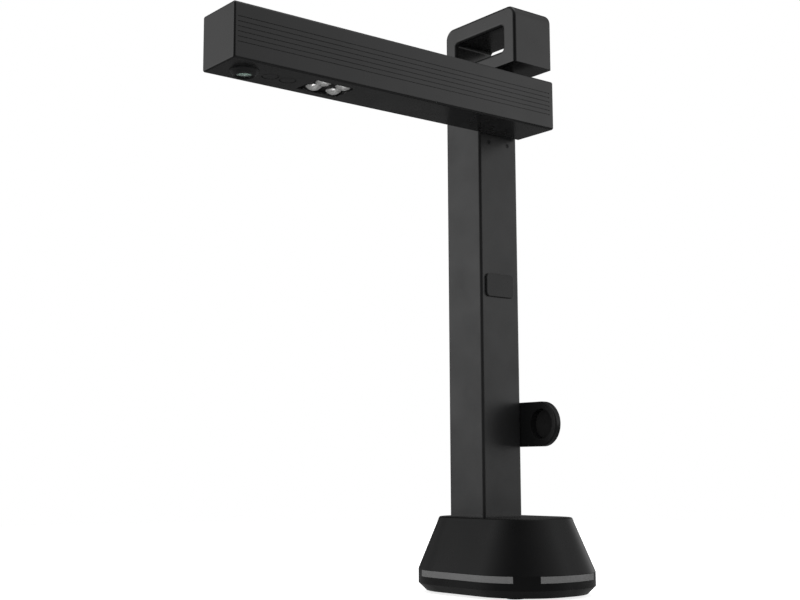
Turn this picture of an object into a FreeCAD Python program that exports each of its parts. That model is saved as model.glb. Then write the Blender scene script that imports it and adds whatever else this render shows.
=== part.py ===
"""Overhead document scanner: a weighted base, a square column with a handle and a folding camera arm.

Millimetres, +Z up. The origin is on the desk under the middle of the base. The front is -Y, and the arm
hangs on the +X side of the column, reaching out over the desk along -Y.
"""

import FreeCAD, Part
import math
import os
from collections import namedtuple

from FreeCAD import Placement, Rotation, Vector

Screw = namedtuple("Screw", "head_radius sink shank_radius length")

UP = Vector(0, 0, 1)
DOWN = Vector(0, 0, -1)
RIGHT = Vector(1, 0, 0)
LEFT = Vector(-1, 0, 0)
FORWARD = Vector(0, -1, 0)
BACKWARD = Vector(0, 1, 0)
SIDES = (-1, 1)
HALF_TURN = 180.0
# Turns X to Y, Y to Z and Z to X
NEXT_AXIS = Rotation(Vector(1, 1, 1), 120)

# Clearances shared by the whole assembly
FIT = 0.05
SLIP = 0.2
RUNNING = 0.05
OVERCUT = 1.0
SAME_PLACE = 1e-4

# Base
BASE_LENGTH = 125.6
BASE_DEPTH = 90.8
BASE_END_FLAT = 7.8
FOOT_SHOWN = 1.5
CHAMFER_HEIGHT = 4.9
CHAMFER_INSET = 5.1
BAND_HEIGHT = 9.2
TAPER_HEIGHT = 34.55
TAPER_INSET = 14.6
BASE_WALL = 2.5
BASE_RIM_RADIUS = 1.2
FLOOR_THICKNESS = 2.5
LIP_HEIGHT = 2.0
LIP_THICKNESS = 1.2
BOSS_X = 42.0
BOSS_Y = 12.0
BOSS_RADIUS = 3.5
FOOT_X = 32.0
FOOT_Y = 21.3
FOOT_RADIUS = 5.7
FOOT_SOCKET_DEPTH = 1.0
FOOT_EDGE_RADIUS = 0.4

# Light trim strips let into the band, placed by the direction in which the band faces
STRIP_HEIGHT = 4.2
STRIP_BELOW_BAND_TOP = 0.3
STRIP_THICKNESS = 1.2
FRONT_STRIP_START_ANGLE = 250.0
FRONT_STRIP_END_ANGLE = 307.5
SIDE_STRIP_HALF_ANGLE = 28.4
STRIP_END_GAP = 0.15

# Parts held inside the base
WEIGHT_THICKNESS = 12.0
WEIGHT_INSET = 8.5
WEIGHT_SCREW_X = 47.0
BOARD_LENGTH = 40.0
BOARD_DEPTH = 14.0
BOARD_THICKNESS = 1.6
BOARD_REAR_GAP = 0.5
BOARD_RISE = 4.7
BOARD_BAY_GAP = 1.0
BOARD_SCREW_INSET = 4.0
STANDOFF_RADIUS = 2.4
USB_WIDTH = 8.94
USB_HEIGHT = 3.26
USB_DEPTH = 7.4
USB_WALL = 0.3
USB_SETBACK = 0.2
USB_BACK_WALL = 1.0
USB_TONGUE_SETBACK = 1.0
USB_TONGUE_WIDTH = 6.6
USB_TONGUE_THICKNESS = 0.7
USB_SLOT_MARGIN = 0.3
HEADER_LENGTH = 8.0
HEADER_DEPTH = 5.0
HEADER_HEIGHT = 4.0
HEADER_X = -14.0
CHIP_SIZE = 7.0
CHIP_HEIGHT = 1.2
CHIP_X = 10.0
CHIP_SETBACK = 1.0

# Column
COLUMN_X = -18.4
COLUMN_WIDTH = 35.0
COLUMN_WALL = 2.0
COLUMN_EDGE_RADIUS = 1.8
COLUMN_INNER_RADIUS = 0.6
COLUMN_RISE = 304.0
FOOT_PLATE_THICKNESS = 3.0
FOOT_PLATE_WIDTH = 38.0
FOOT_PLATE_DEPTH = 54.0
FOOT_SCREW_SPREAD_X = 13.0
FOOT_SCREW_SPREAD_Y = 22.5
SPIGOT_WALL = 4.4
SPIGOT_HEIGHT = 15.0
COLUMN_SCREW_RISE = 8.0
CABLE_WINDOW_WIDTH = 10.0
CABLE_WINDOW_LOW = 16.0
CABLE_WINDOW_HEIGHT = 13.0

# Handle on top of the column
HANDLE_LENGTH = 71.5
HANDLE_HEIGHT = 40.1
HANDLE_CORNER_RADIUS = 7.5
HANDLE_EDGE_RADIUS = 2.0
FINGER_HOLE_LENGTH = 48.3
FINGER_HOLE_HEIGHT = 17.5
FINGER_HOLE_LEFT_WALL = 11.5
FINGER_HOLE_FLOOR = 10.05
FINGER_HOLE_RADIUS = 2.0
FINGER_HOLE_EDGE_RADIUS = 2.2
PLUG_DEPTH = 3.0
HANDLE_SCREW_SPREAD = 9.0
HANDLE_SCREW_FROM_WALL = 10.0

# Hinge between the column and the arm
HINGE_DROP = 25.55
BRACKET_THICKNESS = 10.0
BRACKET_LOW = 29.0
BRACKET_FLANGE = 4.0
BRACKET_SCREW_SPREAD_Y = 8.7
BRACKET_SCREW_BELOW = 21.9
BRACKET_SCREW_ABOVE = 20.0
SHAFT_RADIUS = 6.0
SHAFT_BORE_RADIUS = 3.5
SHAFT_FLANGE_RADIUS = 9.0
SHAFT_FLANGE = 2.0
SHAFT_END = 1.0
GAP_WASHER_RADIUS = 8.0
STOP_PIN_RADIUS = 1.5
STOP_PIN_FROM_AXIS = 11.0
STOP_PIN_DEPTH = 6.0
STOP_PIN_ANGLE = 225.0
STOP_CLEARANCE = 0.25
FOLD_ANGLE = 90.0
HINGE_BLOCK_THICKNESS = 10.0
HINGE_BLOCK_DEPTH = 32.5
BLOCK_SCREW_INSET = 2.8
BLOCK_SCREW_SPREAD_Z = 10.8
SPRING_WASHER_RADIUS = 10.0
SPRING_WASHER_THICKNESS = 1.0
SPRING_WASHERS = 2
NUT_WIDTH = 18.0
NUT_THICKNESS = 5.0
NUT_SIDES = 6

# Arm
ARM_GAP = 1.7
ARM_WIDTH = 35.7
ARM_HEIGHT = 33.9
ARM_REACH = 235.5
ARM_TAIL = 17.5
ARM_WALL = 2.0
ARM_EDGE_RADIUS = 1.6
ARM_INNER_RADIUS = 0.6
COVER_THICKNESS = 1.8
FRONT_CAP = 2.3
REAR_CAP = 4.0
CAP_EDGE_RADIUS = 1.2
CAP_SPIGOT_DEPTH = 2.5
CAP_SPIGOT_WALL = 1.5
GROOVES = 6
GROOVE_PITCH = 2.98
GROOVE_WIDTH = 0.7
GROOVE_DEPTH = 0.35
GROOVES_RISE = 0.4
COVER_LIP_HEIGHT = 3.0
COVER_LIP_THICKNESS = 1.2
COVER_LIP_SHORT = 7.0
HOOKS_PER_SIDE = 5
HOOK_LENGTH = 8.0
HOOK_HEIGHT = 1.0
HOOK_DEPTH = 0.5
HOOK_RISE = 1.4
HOOK_ROOT = 0.5

# Camera at the free end of the arm
LENS_SETBACK = 17.7
LENS_RING_RADIUS = 8.7
LENS_RING_PROUD = 0.9
LENS_RING_NECK_RADIUS = 8.0
BARREL_RADIUS = 7.25
BARREL_PROUD = 3.3
BARREL_SKIRT_RADIUS = 8.1
BARREL_NOSE_RADIUS = 6.7
BARREL_EDGE = 0.3
BARREL_MOUTH_RADIUS = 5.8
BARREL_MOUTH_DEPTH = 0.9
GLASS_RADIUS = 4.8
GLASS_EDGE = 1.2
GLASS_DOME = 0.7
CAMERA_STANDOFF = 12.0
CAMERA_BOARD_WIDTH = 29.0
CAMERA_BOARD_LENGTH = 24.0
CAMERA_SCREW_SPREAD_X = 12.0
CAMERA_SCREW_SPREAD_Y = 9.0
CAMERA_HOUSING_SIZE = 18.0
CAMERA_HOUSING_CLEAR = 2.0
CAMERA_HOUSING_RADIUS = 1.0
BARREL_INSERT = 3.0
ARM_BOARD_THICKNESS = 1.2
ARM_HEADER_WIDTH = 10.0
ARM_HEADER_DEPTH = 5.0
ARM_HEADER_HEIGHT = 4.0

# Lamp keys between the camera and the lamps
FRONT_KEY_SETBACK = 35.5
REAR_KEY_SETBACK = 47.7
KEY_RADIUS = 4.8
KEY_HOLE_GAP = 0.4
KEY_FLANGE_RADIUS = 5.8
KEY_FLANGE = 1.0
KEY_TRAVEL = 0.5
KEY_STEM_RADIUS = 1.5
KEY_STEM_GAP = 0.1
KEY_EDGE = 0.3
KEY_STEM_REACH = 1.7
KEY_SWITCH_SIZE = 6.0
KEY_SWITCH_HEIGHT = 3.5
KEY_BOARD_WIDTH = 28.0
KEY_BOARD_LENGTH = 24.0
KEY_SCREW_INSET = 2.5

# Lamps
LAMP_WINDOW_WIDTH = 21.3
LAMP_WINDOW_FRONT = 60.5
LAMP_WINDOW_REAR = 89.9
LAMP_WINDOW_RADIUS = 1.5
TRAY_THICKNESS = 1.2
TRAY_BORDER = 2.0
LAMP_SPREAD = 5.4
FRONT_LAMPS_SETBACK = 70.1
REAR_LAMPS_SETBACK = 84.7
LAMP_RADIUS = 5.0
LAMP_HANG = 2.4
LAMP_HOLE_GAP = 0.1
LAMP_BOARD_RISE = 3.2
LAMP_BOARD_WIDTH = 26.0
LED_SIZE = 3.4
LED_HEIGHT = 1.0
LED_ROOM = 0.3
LAMP_SCREW_INSET = 2.6

# Pad and lens dock on the column, which meet the arm when it is folded down
PAD_WIDTH = 25.1
PAD_HEIGHT = 16.0
PAD_THICKNESS = 1.4
PAD_CENTRE_Y = -0.95
PAD_BELOW_HINGE = 122.1
PAD_CORNER_RADIUS = 3.0
PAD_EDGE_RADIUS = 0.5
DOCK_HEIGHT = 30.2
DOCK_THICKNESS = 6.0
DOCK_OVERHANG = 33.6
DOCK_LEFT_INSET = 5.5
DOCK_RISE = 1.15
DOCK_INNER_END_RADIUS = 3.0
DOCK_BACK_CHAMFER = 1.6
DOCK_EDGE_RADIUS = 1.0
DOCK_POCKET_RADIUS = 10.2
DOCK_POCKET_DEPTH = 5.3
DOCK_PAD_THICKNESS = 0.5
DOCK_SCREW_SPREAD = 8.0

# Cables
CABLE_RADIUS = 1.5
CABLE_BEND_SHARE = 0.45

# Bends of the cables, counted from the board's header, the column at the base's top, the hinge,
# the shaft's end and the camera board's header
HEADER_BENDS = ((0, 0, 12.7), (-1.0, -9.0, 24.7), (-3.0, -22.4, 28.7))
COLUMN_BEND = (-3.0, 1.0, 9.0)
HINGE_BENDS = ((-8.0, 0, -34.0), (-8.0, 0, 0))
SHAFT_BENDS = ((9.0, 0, 0), (9.0, -10.0, 1.0), (7.0, -32.0, 4.0))
CAMERA_BENDS = ((2.0, 60.0, 4.3), (0, 20.0, 0))

# Screws
BASE_SCREW = Screw(head_radius=2.9, sink=1.5, shank_radius=1.5, length=14.0)
WEIGHT_SCREW = Screw(head_radius=2.9, sink=1.5, shank_radius=1.5, length=9.0)
FOOT_SCREW = Screw(head_radius=3.4, sink=1.9, shank_radius=2.0, length=11.0)
COLUMN_SCREW = Screw(head_radius=2.4, sink=1.3, shank_radius=1.25, length=5.5)
BRACKET_SCREW = Screw(head_radius=1.7, sink=0.8, shank_radius=1.0, length=8.0)
HANDLE_SCREW = Screw(head_radius=2.9, sink=1.5, shank_radius=1.5, length=12.0)
DOCK_SCREW = Screw(head_radius=2.4, sink=1.3, shank_radius=1.25, length=7.8)
BLOCK_SCREW = Screw(head_radius=2.2, sink=1.1, shank_radius=1.25, length=8.0)
BOARD_SCREW = Screw(head_radius=1.7, sink=0.8, shank_radius=1.0, length=4.0)
CROSS_WIDTH_SHARE = 0.28
CROSS_LENGTH_SHARE = 1.3
CROSS_DEPTH_SHARE = 0.6

# Heights
UNDERSIDE_Z = FOOT_SHOWN
SEAM_Z = UNDERSIDE_Z + CHAMFER_HEIGHT
BAND_TOP_Z = SEAM_Z + BAND_HEIGHT
BASE_TOP_Z = BAND_TOP_Z + TAPER_HEIGHT
FLOOR_Z = UNDERSIDE_Z + FLOOR_THICKNESS
STRIP_TOP_Z = BAND_TOP_Z - STRIP_BELOW_BAND_TOP
STRIP_LOW_Z = STRIP_TOP_Z - STRIP_HEIGHT
WEIGHT_TOP_Z = FLOOR_Z + WEIGHT_THICKNESS
COLUMN_LOW_Z = WEIGHT_TOP_Z + FOOT_PLATE_THICKNESS
COLUMN_TOP_Z = BASE_TOP_Z + COLUMN_RISE
HANDLE_TOP_Z = COLUMN_TOP_Z + HANDLE_HEIGHT
HINGE_Z = COLUMN_TOP_Z - HINGE_DROP
ARM_LOW_Z = HINGE_Z - ARM_HEIGHT / 2
ARM_TOP_Z = HINGE_Z + ARM_HEIGHT / 2
COVER_TOP_Z = ARM_LOW_Z + COVER_THICKNESS
BOARD_LOW_Z = FLOOR_Z + BOARD_RISE
BOARD_TOP_Z = BOARD_LOW_Z + BOARD_THICKNESS
CAMERA_BOARD_Z = COVER_TOP_Z + CAMERA_STANDOFF
KEY_SWITCH_Z = COVER_TOP_Z + KEY_FLANGE + KEY_TRAVEL + SLIP
KEY_BOARD_Z = KEY_SWITCH_Z + KEY_SWITCH_HEIGHT
LAMP_BOARD_Z = COVER_TOP_Z + LAMP_BOARD_RISE
CABLE_WINDOW_Z = COLUMN_LOW_Z + CABLE_WINDOW_LOW
COLUMN_SCREW_Z = COLUMN_LOW_Z + COLUMN_SCREW_RISE

# Places along X and Y
BASE_CORNER_RADIUS = (BASE_DEPTH - BASE_END_FLAT) / 2
COLUMN_HALF = COLUMN_WIDTH / 2
COLUMN_BORE_HALF = COLUMN_HALF - COLUMN_WALL
COLUMN_LEFT_X = COLUMN_X - COLUMN_HALF
COLUMN_RIGHT_X = COLUMN_X + COLUMN_HALF
BORE_RIGHT_X = COLUMN_X + COLUMN_BORE_HALF
BRACKET_LEFT_X = BORE_RIGHT_X - BRACKET_THICKNESS
ARM_LEFT_X = COLUMN_RIGHT_X + ARM_GAP
ARM_RIGHT_X = ARM_LEFT_X + ARM_WIDTH
ARM_MIDDLE_X = ARM_LEFT_X + ARM_WIDTH / 2
ARM_FRONT_Y = -ARM_REACH
SHELL_FRONT_Y = ARM_FRONT_Y + FRONT_CAP
SHELL_REAR_Y = ARM_TAIL - REAR_CAP
HINGE_BLOCK_Y = SHELL_REAR_Y - CAP_SPIGOT_DEPTH - SLIP - HINGE_BLOCK_DEPTH / 2
LENS_Y = ARM_FRONT_Y + LENS_SETBACK
BLOCK_RIGHT_X = ARM_LEFT_X + ARM_WALL + HINGE_BLOCK_THICKNESS
NUT_LEFT_X = BLOCK_RIGHT_X + SPRING_WASHERS * SPRING_WASHER_THICKNESS
SHAFT_END_X = NUT_LEFT_X + NUT_THICKNESS + SHAFT_END
HANDLE_SCREW_X = BRACKET_LEFT_X - HANDLE_SCREW_FROM_WALL
WALL_INNER_Y = BASE_DEPTH / 2 - BASE_WALL
BOARD_REAR_Y = WALL_INNER_Y - BOARD_REAR_GAP
BOARD_FRONT_Y = BOARD_REAR_Y - BOARD_DEPTH
USB_MOUTH_Y = BASE_DEPTH / 2 - USB_SETBACK
USB_Z = BOARD_TOP_Z + USB_HEIGHT / 2
HEADER_Y = BOARD_FRONT_Y + HEADER_DEPTH
DOCK_BACK_Y = COLUMN_HALF + DOCK_THICKNESS
FOLDED_LENS_Z = HINGE_Z - (ARM_REACH - LENS_SETBACK)
DOCK_Z = FOLDED_LENS_Z + DOCK_RISE
PAD_Z = HINGE_Z - PAD_BELOW_HINGE


# Basic forms

def block(x, y, z):
    """Box between pairs of limits."""
    return Part.makeBox(x[1] - x[0], y[1] - y[0], z[1] - z[0], Vector(x[0], y[0], z[0]))


def around(centre, width):
    """Limits of a width laid evenly about a centre."""
    return (centre - width / 2, centre + width / 2)


def rod(point, direction, length, radius):
    return Part.makeCylinder(radius, length, point, direction)


def rounded_path(points, radii, closed):
    """Wire of straight runs through the points, each corner turned by a tangent arc of its own radius."""
    count = len(points)
    bends = []
    for index, point in enumerate(points):
        inside = closed or 0 < index < count - 1
        if not inside or radii[index] == 0:
            bends.append((point, None, point))
            continue
        back = (points[index - 1] - point).normalize()
        ahead = (points[(index + 1) % count] - point).normalize()
        half_angle = back.getAngle(ahead) / 2
        reach = radii[index] / math.tan(half_angle)
        depth = radii[index] / math.sin(half_angle) - radii[index]
        middle = point + (back + ahead).normalize() * depth
        bends.append((point + back * reach, middle, point + ahead * reach))
    edges = []
    for index, (start, middle, end) in enumerate(bends):
        if middle:
            edges.append(Part.Arc(start, middle, end).toShape())
        if index + 1 < count or closed:
            following = bends[(index + 1) % count][0]
            if end.distanceToPoint(following) > SAME_PLACE:
                edges.append(Part.makeLine(end, following))
    return Part.Wire(edges)


def placed(plane, u, v, w):
    """Point with u and v in the named plane and w along its normal."""
    return {"XY": Vector(u, v, w), "XZ": Vector(u, w, v), "YZ": Vector(w, u, v)}[plane]


def slab(plane, u, v, w, radii):
    """Rounded rectangle across the plane, w[0] to w[1] thick; radii go anticlockwise from the low corner."""
    corners = ((u[0], v[0]), (u[1], v[0]), (u[1], v[1]), (u[0], v[1]))
    points = [placed(plane, a, b, w[0]) for a, b in corners]
    face = Part.Face(rounded_path(points, radii, True))
    return face.extrude(placed(plane, 0, 0, w[1] - w[0]))


def edges_at(shape, axis, value, keep=lambda box: True):
    """Edges that lie wholly at one value of x, y or z and whose box passes the test."""
    low, high = axis.upper() + "Min", axis.upper() + "Max"
    found = []
    for edge in shape.Edges:
        box = edge.BoundBox
        flat = max(abs(getattr(box, low) - value), abs(getattr(box, high) - value)) < SAME_PLACE
        if flat and keep(box):
            found.append(edge)
    return found


def screw_form(spec, point, inwards, grow):
    """Head cone and shank, with the head's flat at the point and the shank running inwards."""
    head = Part.makeCone(spec.head_radius + grow, spec.shank_radius + grow, spec.sink)
    form = head.fuse(Part.makeCylinder(spec.shank_radius + grow, spec.length + grow))
    form.Placement = Placement(point, Rotation(UP, inwards))
    return form


def screw(spec, point, inwards):
    """Countersunk screw with a cross recess."""
    width = spec.head_radius * CROSS_WIDTH_SHARE
    length = spec.head_radius * CROSS_LENGTH_SHARE
    depth = (-OVERCUT, spec.sink * CROSS_DEPTH_SHARE)
    bars = [
        block(around(0, length), around(0, width), depth),
        block(around(0, width), around(0, length), depth),
    ]
    for bar in bars:
        bar.Placement = Placement(point, Rotation(UP, inwards))
    return screw_form(spec, point, inwards, 0).cut(bars)


def screws(seats):
    return Part.makeCompound([screw(*seat) for seat in seats])


def holes(seats):
    return [screw_form(*seat, FIT) for seat in seats]


def group(solids):
    return Part.makeCompound(solids)


# Where each set of screws sits: screw, point of its head, direction of its shank

def base_screw_seats():
    places = [(x * BOSS_X, y * BOSS_Y) for x in SIDES for y in SIDES]
    return [(BASE_SCREW, Vector(x, y, UNDERSIDE_Z), UP) for x, y in places]


def weight_screw_seats():
    return [(WEIGHT_SCREW, Vector(x * WEIGHT_SCREW_X, 0, UNDERSIDE_Z), UP) for x in SIDES]


def foot_screw_seats():
    places = [(x * FOOT_SCREW_SPREAD_X, y * FOOT_SCREW_SPREAD_Y) for x in SIDES for y in SIDES]
    return [(FOOT_SCREW, Vector(COLUMN_X + x, y, COLUMN_LOW_Z), DOWN) for x, y in places]


def column_screw_seats():
    return [
        (COLUMN_SCREW, Vector(COLUMN_LEFT_X, 0, COLUMN_SCREW_Z), RIGHT),
        (COLUMN_SCREW, Vector(COLUMN_RIGHT_X, 0, COLUMN_SCREW_Z), LEFT),
    ]


def bracket_screw_seats():
    heights = (HINGE_Z - BRACKET_SCREW_BELOW, HINGE_Z + BRACKET_SCREW_ABOVE)
    return [(BRACKET_SCREW, Vector(COLUMN_RIGHT_X, y * BRACKET_SCREW_SPREAD_Y, z), LEFT)
            for y in SIDES for z in heights]


def handle_screw_seats():
    low = COLUMN_TOP_Z - PLUG_DEPTH - BRACKET_FLANGE
    return [(HANDLE_SCREW, Vector(HANDLE_SCREW_X, y * HANDLE_SCREW_SPREAD, low), UP) for y in SIDES]


def dock_screw_seats():
    heights = [DOCK_Z + z * DOCK_SCREW_SPREAD for z in SIDES]
    return [(DOCK_SCREW, Vector(COLUMN_X, DOCK_BACK_Y, z), FORWARD) for z in heights]


def block_screw_seats():
    reach = HINGE_BLOCK_DEPTH / 2 - BLOCK_SCREW_INSET
    places = [(HINGE_BLOCK_Y + y * reach, z * BLOCK_SCREW_SPREAD_Z) for y in SIDES for z in SIDES]
    return [(BLOCK_SCREW, Vector(ARM_LEFT_X, y, HINGE_Z + z), RIGHT) for y, z in places]


def board_screw_seats():
    spread = BOARD_LENGTH / 2 - BOARD_SCREW_INSET
    middle = (BOARD_FRONT_Y + BOARD_REAR_Y) / 2
    return [(BOARD_SCREW, Vector(x * spread, middle, BOARD_TOP_Z), DOWN) for x in SIDES]


def camera_screw_seats():
    top = CAMERA_BOARD_Z + ARM_BOARD_THICKNESS
    places = [(x * CAMERA_SCREW_SPREAD_X, y * CAMERA_SCREW_SPREAD_Y) for x in SIDES for y in SIDES]
    return [(BOARD_SCREW, Vector(ARM_MIDDLE_X + x, LENS_Y + y, top), DOWN) for x, y in places]


def key_screw_seats():
    top = KEY_BOARD_Z + ARM_BOARD_THICKNESS
    spread = KEY_BOARD_WIDTH / 2 - KEY_SCREW_INSET
    return [(BOARD_SCREW, Vector(ARM_MIDDLE_X + x * spread, key_board_y(), top), DOWN) for x in SIDES]


def lamp_screw_seats():
    top = LAMP_BOARD_Z + ARM_BOARD_THICKNESS
    ends = lamp_board_limits()[1]
    places = (ends[0] + LAMP_SCREW_INSET, ends[1] - LAMP_SCREW_INSET)
    return [(BOARD_SCREW, Vector(ARM_MIDDLE_X, y, top), DOWN) for y in places]


# Base

def base_outline(z, inset):
    """The band's rounded outline at a height, drawn in by the inset."""
    half_x = BASE_LENGTH / 2 - inset
    half_y = BASE_DEPTH / 2 - inset
    points = [Vector(-half_x, -half_y, z), Vector(half_x, -half_y, z),
              Vector(half_x, half_y, z), Vector(-half_x, half_y, z)]
    return rounded_path(points, [BASE_CORNER_RADIUS - inset] * len(points), True)


def upright(wire, height):
    return Part.Face(wire).extrude(Vector(0, 0, height))


def base_form(inset, top):
    """Upright band with the straight taper above it."""
    band = upright(base_outline(SEAM_Z, inset), BAND_TOP_Z - SEAM_Z)
    taper = Part.makeLoft([base_outline(BAND_TOP_Z, inset), base_outline(top, inset + TAPER_INSET)],
                          True, True)
    return band.fuse(taper).removeSplitter()


def strip_sector(start, end):
    """Wedge that takes in the part of the band facing from one direction to the other, in degrees."""
    reach = 2 * BASE_LENGTH
    rays = []
    for angle in (start, end):
        facing = Vector(math.cos(math.radians(angle)), math.sin(math.radians(angle)), 0)
        centre_x = math.copysign(BASE_LENGTH / 2 - BASE_CORNER_RADIUS, facing.x)
        centre_y = math.copysign(BASE_DEPTH / 2 - BASE_CORNER_RADIUS, facing.y)
        centre = Vector(centre_x, centre_y, 0)
        rays.append((centre, centre + facing * reach))
    corners = [rays[0][0], rays[0][1], rays[1][1], rays[1][0]]
    wedge = Part.Face(Part.makePolygon(corners + corners[:1]))
    return wedge.extrude(Vector(0, 0, BASE_TOP_Z))


def trim_strip(start, end, grow):
    """Strip let into the band, or, grown by its clearance, the channel that holds it."""
    low = STRIP_LOW_Z - grow
    height = STRIP_HEIGHT + 2 * grow
    swell = OVERCUT if grow else 0
    ring = upright(base_outline(low, -swell), height).cut(
        upright(base_outline(low, STRIP_THICKNESS + grow), height))
    turn = math.degrees(grow / BASE_CORNER_RADIUS)
    return ring.common(strip_sector(start - turn, end + turn))


def strip_spans():
    half = SIDE_STRIP_HALF_ANGLE
    return {
        "trim_strip_front": (FRONT_STRIP_START_ANGLE, FRONT_STRIP_END_ANGLE),
        "trim_strip_right": (-half, half),
        "trim_strip_left": (HALF_TURN - half, HALF_TURN + half),
    }


def column_form(grow, z):
    """The column's outer form between two heights, grown for clearance."""
    width = COLUMN_WIDTH + 2 * grow
    return slab("XY", around(COLUMN_X, width), around(0, width), z, [COLUMN_EDGE_RADIUS + grow] * 4)


def usb_slot():
    width = USB_WIDTH + 2 * USB_SLOT_MARGIN
    height = USB_HEIGHT + 2 * USB_SLOT_MARGIN
    span = (WALL_INNER_Y - OVERCUT, BASE_DEPTH / 2 + OVERCUT)
    return slab("XZ", around(0, width), around(USB_Z, height), span, [height / 2 - FIT] * 4)


def base_shell():
    outer = base_form(0, BASE_TOP_Z)
    outer = outer.makeFillet(BASE_RIM_RADIUS, edges_at(outer, "z", BASE_TOP_Z))
    roof = BASE_TOP_Z - BASE_WALL
    shell = outer.cut(base_form(BASE_WALL, roof))
    bosses = [rod(Vector(x * BOSS_X, y * BOSS_Y, FLOOR_Z), UP, roof - FLOOR_Z, BOSS_RADIUS)
              for x in SIDES for y in SIDES]
    cuts = [trim_strip(start, end, STRIP_END_GAP) for start, end in strip_spans().values()]
    cuts += [column_form(SLIP, (roof - OVERCUT, BASE_TOP_Z + OVERCUT)), usb_slot()]
    return shell.fuse(bosses).cut(cuts + holes(base_screw_seats()))


def standoffs(seats, low, top):
    """Round posts under a board's screws."""
    return [rod(Vector(point.x, point.y, low), UP, top - low, STANDOFF_RADIUS) for _, point, _ in seats]


def base_bottom_cover():
    outer = Part.makeLoft([base_outline(UNDERSIDE_Z, CHAMFER_INSET), base_outline(SEAM_Z, 0)], True, True)
    hollow = upright(base_outline(FLOOR_Z, CHAMFER_INSET + BASE_WALL), SEAM_Z)
    lip_inset = BASE_WALL + SLIP
    lip = upright(base_outline(SEAM_Z, lip_inset), LIP_HEIGHT).cut(
        upright(base_outline(SEAM_Z, lip_inset + LIP_THICKNESS), LIP_HEIGHT))
    posts = standoffs(board_screw_seats(), FLOOR_Z, BOARD_LOW_Z)
    sockets = [rod(Vector(x, y, UNDERSIDE_Z - OVERCUT), UP, OVERCUT + FOOT_SOCKET_DEPTH, FOOT_RADIUS + FIT)
               for x, y in foot_places()]
    seats = base_screw_seats() + weight_screw_seats() + board_screw_seats()
    return outer.cut(hollow).fuse([lip] + posts).cut(sockets + holes(seats))


def foot_places():
    return [(x * FOOT_X, y * FOOT_Y) for x in SIDES for y in SIDES]


def base_feet():
    feet = []
    for x, y in foot_places():
        foot = rod(Vector(x, y, 0), UP, FOOT_SHOWN + FOOT_SOCKET_DEPTH, FOOT_RADIUS)
        feet.append(foot.makeFillet(FOOT_EDGE_RADIUS, edges_at(foot, "z", 0)))
    return group(feet)


def counterweight():
    """Steel slab on the cover's floor, with a bay for the circuit board at the back."""
    slab_form = upright(base_outline(FLOOR_Z, WEIGHT_INSET), WEIGHT_THICKNESS)
    bay_y = (BOARD_FRONT_Y - BOARD_BAY_GAP, BASE_DEPTH)
    bay = block(around(0, BOARD_LENGTH + 2 * BOARD_BAY_GAP), bay_y, (0, BASE_TOP_Z))
    boss_holes = [rod(Vector(x * BOSS_X, y * BOSS_Y, 0), UP, BASE_TOP_Z, BOSS_RADIUS + SLIP)
                  for x in SIDES for y in SIDES]
    return slab_form.cut([bay] + boss_holes + holes(weight_screw_seats() + foot_screw_seats()))


def main_board():
    board = block(around(0, BOARD_LENGTH), (BOARD_FRONT_Y, BOARD_REAR_Y), (BOARD_LOW_Z, BOARD_TOP_Z))
    chip_front = BOARD_FRONT_Y + CHIP_SETBACK
    chip = block(around(CHIP_X, CHIP_SIZE), (chip_front, chip_front + CHIP_SIZE),
                 (BOARD_TOP_Z, BOARD_TOP_Z + CHIP_HEIGHT))
    header = block(around(HEADER_X, HEADER_LENGTH), around(HEADER_Y, HEADER_DEPTH),
                   (BOARD_TOP_Z, BOARD_TOP_Z + HEADER_HEIGHT))
    return board.fuse([chip, header]).cut(holes(board_screw_seats()))


def usb_socket():
    """Metal shell with its tongue; the plug goes in from the back of the base."""
    span = (USB_MOUTH_Y - USB_DEPTH, USB_MOUTH_Y)
    radius = USB_HEIGHT / 2 - FIT
    shell = slab("XZ", around(0, USB_WIDTH), around(USB_Z, USB_HEIGHT), span, [radius] * 4)
    bore = slab("XZ", around(0, USB_WIDTH - 2 * USB_WALL), around(USB_Z, USB_HEIGHT - 2 * USB_WALL),
                (span[0] + USB_BACK_WALL, span[1] + OVERCUT), [radius - USB_WALL] * 4)
    tongue = block(around(0, USB_TONGUE_WIDTH), (span[0], span[1] - USB_TONGUE_SETBACK),
                   around(USB_Z, USB_TONGUE_THICKNESS))
    return shell.cut(bore).fuse(tongue)


# Column

def column_foot():
    """Plate screwed to the weight, with the square spigot that the column slips over."""
    plate = block(around(COLUMN_X, FOOT_PLATE_WIDTH), around(0, FOOT_PLATE_DEPTH),
                  (WEIGHT_TOP_Z, COLUMN_LOW_Z))
    half = COLUMN_BORE_HALF - SLIP / 2
    spigot_z = (COLUMN_LOW_Z, COLUMN_LOW_Z + SPIGOT_HEIGHT)
    spigot = block((COLUMN_X - half, COLUMN_X + half), (-half, half), spigot_z)
    inner = half - SPIGOT_WALL
    hollow = block((COLUMN_X - inner, COLUMN_X + inner), (-inner, inner), spigot_z)
    edges = [edge for edge in spigot.Edges if edge.BoundBox.ZLength > SPIGOT_HEIGHT / 2]
    spigot = spigot.makeFillet(COLUMN_INNER_RADIUS, edges)
    return plate.fuse(spigot.cut(hollow)).cut(holes(foot_screw_seats() + column_screw_seats()))


def shaft_hole(x, radius):
    return rod(Vector(x[0], 0, HINGE_Z), RIGHT, x[1] - x[0], radius)


def stop_pin_centre():
    angle = math.radians(STOP_PIN_ANGLE)
    return (STOP_PIN_FROM_AXIS * math.cos(angle), HINGE_Z + STOP_PIN_FROM_AXIS * math.sin(angle))


def stop_pin_form(grow):
    """Pin from the bracket through the column's wall into the slot in the arm."""
    y, z = stop_pin_centre()
    start = COLUMN_RIGHT_X - STOP_PIN_DEPTH
    length = STOP_PIN_DEPTH + ARM_GAP + ARM_WALL - SLIP
    return rod(Vector(start, y, z), RIGHT, length, STOP_PIN_RADIUS + grow)


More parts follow.
